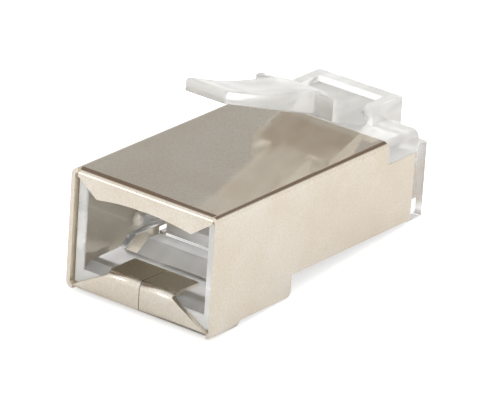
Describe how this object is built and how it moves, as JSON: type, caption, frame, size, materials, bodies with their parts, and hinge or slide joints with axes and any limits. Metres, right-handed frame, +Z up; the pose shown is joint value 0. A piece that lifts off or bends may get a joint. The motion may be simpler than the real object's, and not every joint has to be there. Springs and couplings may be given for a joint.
{
  "type": "modular plug connector",
  "caption": "Shielded modular network plug with a sprung latch lever, an open cable entry and contact blades under its clear nose.",
  "frame": {"origin": "middle of the plug's bounding box seen from above, at the height of the shield's sole at the rear", "axes": "+Y towards the nose that enters the jack, +Z up through the latch, +X to the right seen from the cable end"},
  "size_m": [0.0116, 0.0224, 0.0138],
  "materials": {
    "clear_plastic": "clear polycarbonate, moulded, polished",
    "nickel_plate": "thin brass sheet, bright nickel plated, fine rolling lines",
    "gold_plate": "stamped copper alloy, gold flashed over nickel"
  },
  "bodies": {
    "plug_body": {"housing": "clear_plastic", "shield": "nickel_plate"},
    "latch": {"latch_lever": "clear_plastic"},
    "contacts": {"contact_1": "gold_plate", "contact_2": "gold_plate", "contact_3": "gold_plate", "contact_4": "gold_plate", "contact_5": "gold_plate", "contact_6": "gold_plate", "contact_7": "gold_plate", "contact_8": "gold_plate"},
    "strain_relief": {"strain_relief_bar": "clear_plastic"}
  },
  "joints": [
    {"name": "latch_press", "type": "hinge", "parent": "plug_body", "child": "latch", "pos_m": [0, 0.0074, 0.00868], "axis": [1, 0, 0], "range_deg": [0, 18], "stiffness_Nm_per_rad": 0.03},
    {"name": "contact_crimp", "type": "slide", "parent": "plug_body", "child": "contacts", "axis": [0, 0, 1], "range_m": [0, 0.00038]},
    {"name": "bar_crimp", "type": "hinge", "parent": "plug_body", "child": "strain_relief", "pos_m": [0, -0.0039, 0.0011], "axis": [-1, 0, 0], "range_deg": [0, 25]}
  ]
}
